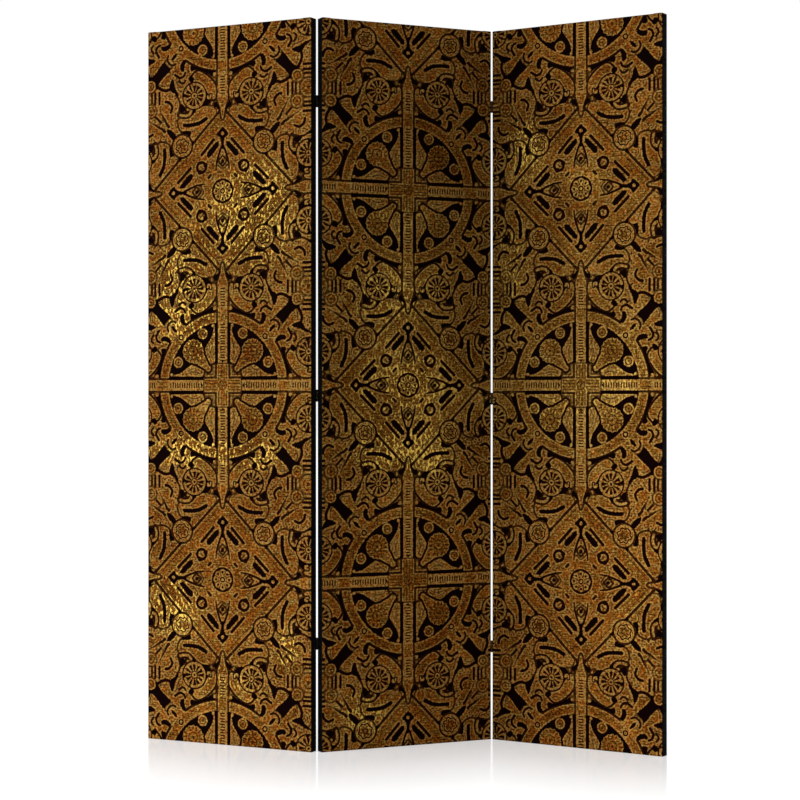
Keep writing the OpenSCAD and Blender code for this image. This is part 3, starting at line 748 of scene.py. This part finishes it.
for place, panel in enumerate(PANELS):
    x, z = (flat_x + panel_w * (place - 1)) * 1000, flat_z * 1000
    canvas = mesh_object(panel + "_canvas", stand(points, panel), quads, canvas_print)
    give_uv(canvas, "print", x / 1000, z / 1000)
    for name, field in block.items():
        give_attribute(canvas, name, stamp(field, x, z))
    # Painted shade and painted light: a level below 1 in the darkened spots and above 1 in the brightened.
    give_attribute(canvas, "shade", 1.0 - bells(x, z, PAINTED_SHADE_AND_LIGHT))
    # Spots of foil glints, metallic and with a painted highlight in their colour.
    give_attribute(canvas, "glint", np.minimum(bells(x, z, FOIL_AND_PAINTED_GLINTS), 1.0))
    give_attribute(canvas, "olive", bells(x, z, OLIVE))
    give_attribute(canvas, "printed", printed)
    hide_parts(panel + "_panel_canvas")
    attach(canvas, panel + "_panel")


# The back cloths: thin black spun-bonded cloth, laid over the canvas hem and drawn tight between its
# staples, so it dips a little into the bays between the rails and puckers at each staple.
CLOTH_HALF_W, CLOTH_MARGIN, CLOTH_Y = 0.222, 0.003, 0.0125
CLOTH_GRID = (112, 430)
BAY_HALF_W, RAIL_GRIP, SAG = 0.185, 0.001, 0.0035
STAPLE_INSET = 0.016
PUCKER, PUCKER_FOLDS, PUCKER_REACH, PUCKER_START = 0.0005, 9, 0.03, 0.006
BOND_PITCH = 0.0016
rail_ends = np.array([[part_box(f"middle_panel_{rail}")[end][2] for end in (0, 1)] for rail in (
    "bottom_rail", "lower_cross_rail", "upper_cross_rail", "top_rail")])


def staple_places(edge, end=0.060, pitch=0.160):
    """Places of the staples along an edge, from its middle: even steps of at most the pitch."""
    span = edge - 2 * end
    return np.linspace(-span / 2, span / 2, math.ceil(span / pitch) + 1)


def back_sheet():
    """A back cloth in its panel's own frame: a grid over width and height. It dips into each bay by
    the root of a product of half sine waves, which is nought at the rails, and rises in puckers,
    which are cosine ripples of the bearing round a staple that fade with distance. Its faces look to
    the back, the other way from the canvas's front. Also gives the dip's share of the deepest."""
    x, z = np.meshgrid(np.linspace(-CLOTH_HALF_W, CLOTH_HALF_W, CLOTH_GRID[0]),
                       np.linspace(CLOTH_MARGIN, panel_h - CLOTH_MARGIN, CLOTH_GRID[1]), indexing="ij")
    index = np.arange(x.size).reshape(x.shape)
    dip = np.zeros(x.shape)
    for low, high in zip(rail_ends[:-1, 1] + RAIL_GRIP, rail_ends[1:, 0] - RAIL_GRIP):
        across = np.sin(np.pi * np.clip((x / BAY_HALF_W + 1) / 2, 0, 1))
        up = np.sin(np.pi * np.clip((z - low) / (high - low), 0, 1))
        dip += np.sqrt(across * up)
    y = CLOTH_Y - SAG * dip
    spots = [(side * (panel_w / 2 - STAPLE_INSET), panel_h / 2 + up)
             for side in (-1, 1) for up in staple_places(panel_h)]
    spots += [(along, panel_h / 2 + side * (panel_h / 2 - STAPLE_INSET))
              for side in (-1, 1) for along in staple_places(panel_w)]
    for at_x, at_z in spots:
        r, turn = np.hypot(x - at_x, z - at_z), np.arctan2(z - at_z, x - at_x)
        fade = np.exp(-(r / PUCKER_REACH) ** 2) * np.clip(r / PUCKER_START - 1, 0, 1)
        y += PUCKER * (1 + np.cos(PUCKER_FOLDS * turn)) * fade
    points = np.c_[x.ravel(), y.ravel(), z.ravel()]
    return points, grid_quads(index)[:, [0, 3, 2, 1]], dip.ravel()


def spun_cloth():
    """Black spun-bonded cloth: matted fibres, and the grid of small pressed points that bonds them,
    a product of two waves that are turned half a right angle. Painted light makes it greyer over the
    rails, where it lies flat, than in the bays it dips into, and dust greys it in clouds, most of all
    near the floor."""
    made, tree = new_material("black back cloth")
    place = add_node(tree, "ShaderNodeUVMap", uv_map="cloth").outputs[0]
    fibre = noise_at(tree, place, 1500.0, 4.0, 0.7, flat=True)
    matted = noise_at(tree, place, 120.0, 3.0, flat=True)
    aslant = stretch(tree, place, (1, 1, 1), math.radians(45))
    one_way, other_way = ((axis * (math.pi / BOND_PITCH)).sine() for axis in axes_of(tree, aslant)[:2])
    pressed = abs(one_way * other_way).ease(0.55, 0.85)
    black = colour_ramp(tree, fibre * 0.6 + matted * 0.4 - pressed * 0.15, [
        (0.2, (0.006, 0.006, 0.0063)), (0.5, (0.017, 0.0168, 0.0165)), (0.8, (0.042, 0.041, 0.039))])
    up = axes_of(tree, place)[1]
    cloud = noise_at(tree, place, 6.0, 5.0, 0.65, flat=True)
    dust = (cloud + up.ease(0.5, 0.0) * 0.16).ease(0.5, 0.8, 0.0, 0.5) * fibre.ease(0.35, 0.65)
    bay = attribute_of(tree, "bay")
    # Painted light: the cloth is made greyer over the rails than in the bays.
    painted_rail_light = bay.ease(0.35, 0.0) * matted.ease(0.2, 0.7, 0.3, 0.75)
    rail_lit_black = mix_colours(tree, painted_rail_light, black, (0.052, 0.050, 0.047, 1))
    colour = mix_colours(tree, dust, rail_lit_black, (0.095, 0.090, 0.081, 1))
    finish_with(tree, colour, fibre.ease(0.3, 0.7, 0.75, 0.92), fibre * 0.5 + matted * 0.4 - pressed,
                0.0002, 0.8, Specular_IOR_Level=0.2)
    return made


cloth_black = spun_cloth()
points, quads, dip = back_sheet()
for place, panel in enumerate(PANELS):
    cloth = mesh_object(panel + "_back_cloth", stand(points, panel), quads, cloth_black)
    give_uv(cloth, "cloth", points[:, 0] + panel_w * place, points[:, 2])
    give_attribute(cloth, "bay", dip)
    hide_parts(panel + "_panel_back_cloth")
    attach(cloth, panel + "_panel")


# The staples: flat galvanised wire, bent square and driven by a gun through the back cloth and the
# hem into the pine.
def plated_steel(name, bright, dull, scale, roughness):
    """Plated steel: clouds of two tones of the plating, fine drawn scratches, and a roughness that
    follows both."""
    made, tree = new_material(name)
    place = add_node(tree, "ShaderNodeTexCoord").outputs["Object"]
    cloud = noise_at(tree, place, scale, 3.0, 0.6)
    scratch = noise_at(tree, stretch(tree, place, (4000.0, 4000.0, 500.0)), 1.0, 2.0)
    colour = mix_colours(tree, (cloud * 0.7 + scratch * 0.3).ease(0.35, 0.65), (*dull, 1), (*bright, 1))
    polish = (cloud * 0.6 + scratch * 0.4).ease(0.3, 0.7, roughness + 0.1, roughness - 0.1)
    finish_with(tree, colour, polish, scratch, 0.00004, 0.5, Metallic=1.0)
    return made


staple_wire = plated_steel("galvanised staple wire", (0.66, 0.67, 0.68), (0.36, 0.37, 0.38), 900.0, 0.36)
for panel in PANELS:
    dress(panel + "_panel_staples", staple_wire)


# The hinges: at each fold three small butt hinges of pressed steel, browned nearly black, with a
# riveted pin. The leaves lie on the canvas over the panels' edges, and are scuffed by handling.
def browned_steel():
    """Browned steel: an uneven dark brown film, worn to a duller metal in a few scuffs."""
    made, tree = new_material("browned hinge steel")
    place = add_node(tree, "ShaderNodeTexCoord").outputs["Object"]
    film = noise_at(tree, place, 260.0, 4.0, 0.65)
    scuff = noise_at(tree, stretch(tree, place, (700.0, 700.0, 120.0)), 1.0, 3.0)
    worn = scuff.ease(0.60, 0.74) * film.ease(0.35, 0.6) * 0.8
    brown = mix_colours(tree, film.ease(0.3, 0.7), (0.010, 0.0075, 0.0060, 1), (0.026, 0.019, 0.0145, 1))
    colour = mix_colours(tree, worn, brown, (0.10, 0.088, 0.076, 1))
    finish_with(tree, colour, film.ease(0.3, 0.7, 0.5, 0.36) - worn * 0.08, film * 0.6 + scuff * 0.4,
                0.00006, 0.7, Metallic=0.7, Specular_IOR_Level=0.4)
    return made


hinge_steel = browned_steel()
screw_steel = plated_steel("blackened screw steel", (0.060, 0.056, 0.052), (0.020, 0.018, 0.017), 1200.0, 0.42)
for fold in folds:
    for level in ("top", "middle", "low"):
        for piece in ("inner_leaf", "outer_leaf", "pin"):
            dress(f"{fold}_fold_{level}_{piece}", hinge_steel)
for panel in PANELS:
    dress(panel + "_panel_hinge_screws", screw_steel)


# The stage: a pale floor with a faint polish round the screen's feet, a white surround that only the
# camera and reflections see, a soft lamp, and the camera where the photograph was taken from.
FLOOR_GLOW = 0.72
FLOOR_POLISH, POLISH_REACH, POLISH_RISE = 0.34, 0.62, 1.25


def seen_share(tree):
    """1 for a ray from the camera or one that a surface reflects or lets through, otherwise 0."""
    rays = add_node(tree, "ShaderNodeLightPath").outputs
    seen = Value(tree, rays["Is Camera Ray"]).most(Value(tree, rays["Is Glossy Ray"]))
    return seen.most(Value(tree, rays["Is Transmission Ray"]))


def pale_floor():
    """A pale matt floor that the camera sees as white, but for shadows, and for dim reflections where
    the attribute "polish" is above 0."""
    made, tree = new_material("pale floor")
    matt = add_node(tree, "ShaderNodeBsdfDiffuse", {"Color": (0.8, 0.8, 0.8, 1)})
    glow = add_node(tree, "ShaderNodeEmission", {"Color": (1, 1, 1, 1),
                    "Strength": seen_share(tree) * FLOOR_GLOW})
    lit = add_node(tree, "ShaderNodeAddShader", {0: matt.outputs[0], 1: glow.outputs[0]})
    gloss = add_node(tree, "ShaderNodeBsdfGlossy", {"Color": (1, 1, 1, 1), "Roughness": 0.12})
    mixed = add_node(tree, "ShaderNodeMixShader", {0: attribute_of(tree, "polish"), 1: lit.outputs[0],
                     2: gloss.outputs[0]})
    add_node(tree, "ShaderNodeOutputMaterial", {"Surface": mixed.outputs[0]})
    return made


def off_line(x, y, start, end):
    """Distance of points from a line between two ends, by each point's share of the way along it."""
    run_x, run_y = end[0] - start[0], end[1] - start[1]
    t = np.clip(((x - start[0]) * run_x + (y - start[1]) * run_y) / (run_x**2 + run_y**2), 0, 1)
    return np.hypot(x - start[0] - t * run_x, y - start[1] - t * run_y)


lines = np.r_[-40.0, -8.0, -3.0, np.linspace(-1.5, 1.5, 61), 3.0, 8.0, 40.0]
floor_x, floor_y = (way.ravel() for way in np.meshgrid(lines, lines, indexing="ij"))
floor_grid = np.arange(len(lines) ** 2).reshape(len(lines), -1)
floor = mesh_object("floor", np.c_[floor_x, floor_y, 0 * floor_x], grid_quads(floor_grid), pale_floor())
feet = [stand(np.array([[-panel_w / 2, 0, 0], [panel_w / 2, 0, 0]]), panel) for panel in PANELS]
near = 1 - np.min([off_line(floor_x, floor_y, *ends[:, :2]) for ends in feet], axis=0) / POLISH_REACH
give_attribute(floor, "polish", FLOOR_POLISH * np.clip(near * POLISH_RISE, 0, 1))

WORLD_FILL = 0.46
world = bpy.data.worlds.new("studio")
bpy.context.scene.world = world
world.use_nodes = True
air = world.node_tree
air.nodes.clear()
light, white = (add_node(air, "ShaderNodeBackground", {"Color": (1, 1, 1, 1), "Strength": strength})
                for strength in (WORLD_FILL, 1.0))
both = add_node(air, "ShaderNodeMixShader", {0: seen_share(air), 1: light.outputs[0], 2: white.outputs[0]})
add_node(air, "ShaderNodeOutputWorld", {"Surface": both.outputs[0]})

# The lamp is a square that faces the middle of the screen: its tilt is the angle of its beam from
# straight down, and its turn is the beam's bearing.
lamp = bpy.data.lights.new("left softbox", "AREA")
lamp.shape, lamp.size, lamp.energy = "SQUARE", 1.5, 134
softbox = add_object("left softbox", lamp)
lamp_at, screen_middle = np.array([[-5.15, 1.0, 0.95], [0.0, 0.0, 0.9]])
softbox.location = lamp_at
way = screen_middle - lamp_at
softbox.rotation_euler = (math.acos(-way[2] / np.linalg.norm(way)), 0, math.atan2(-way[0], way[1]))

camera = bpy.data.cameras.new("camera")
camera.lens, camera.sensor_width = 93.06, 36.0
camera.shift_x, camera.shift_y = 0.0625, 0.0009
camera.clip_start, camera.clip_end = 0.1, 200.0
viewer = add_object("camera", camera)
viewer.location = (-2.201, -4.429, 0.823)
viewer.rotation_euler = (math.radians(90), 0, -math.radians(24.88))
bpy.context.scene.camera = viewer
bpy.context.scene.view_settings.view_transform = "Standard"
